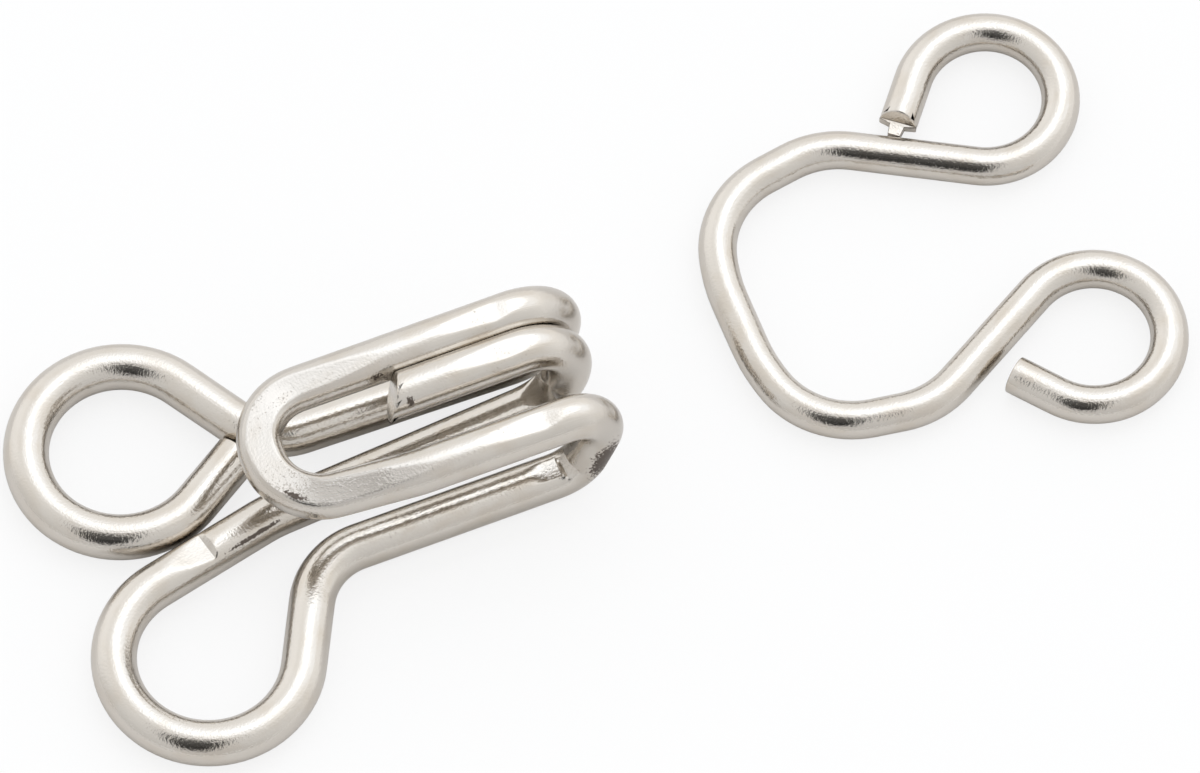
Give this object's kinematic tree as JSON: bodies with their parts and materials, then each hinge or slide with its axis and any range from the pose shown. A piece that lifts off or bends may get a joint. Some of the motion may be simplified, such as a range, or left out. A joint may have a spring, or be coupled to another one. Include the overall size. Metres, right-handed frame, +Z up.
{
  "type": "hook and eye clasp",
  "caption": "Sewn wire clasp: a flat bent-wire hook with sewing loops and a raised bill, lying beside the bent-wire eye whose arch the bill catches.",
  "frame": {"origin": "on the surface the pair lies on, at the middle of the box round the pair", "axes": "+X runs from the hook's sewing loops past its bends to the eye's sewing loops, +Y across the pair, +Z up"},
  "size_m": [0.0254, 0.011, 0.0034],
  "materials": {
    "nickel_plate": "bright nickel plate over drawn brass wire, with fine drawing lines and small tool marks"
  },
  "bodies": {
    "root": {"hook": "nickel_plate", "eye": "nickel_plate"}
  },
  "joints": []
}
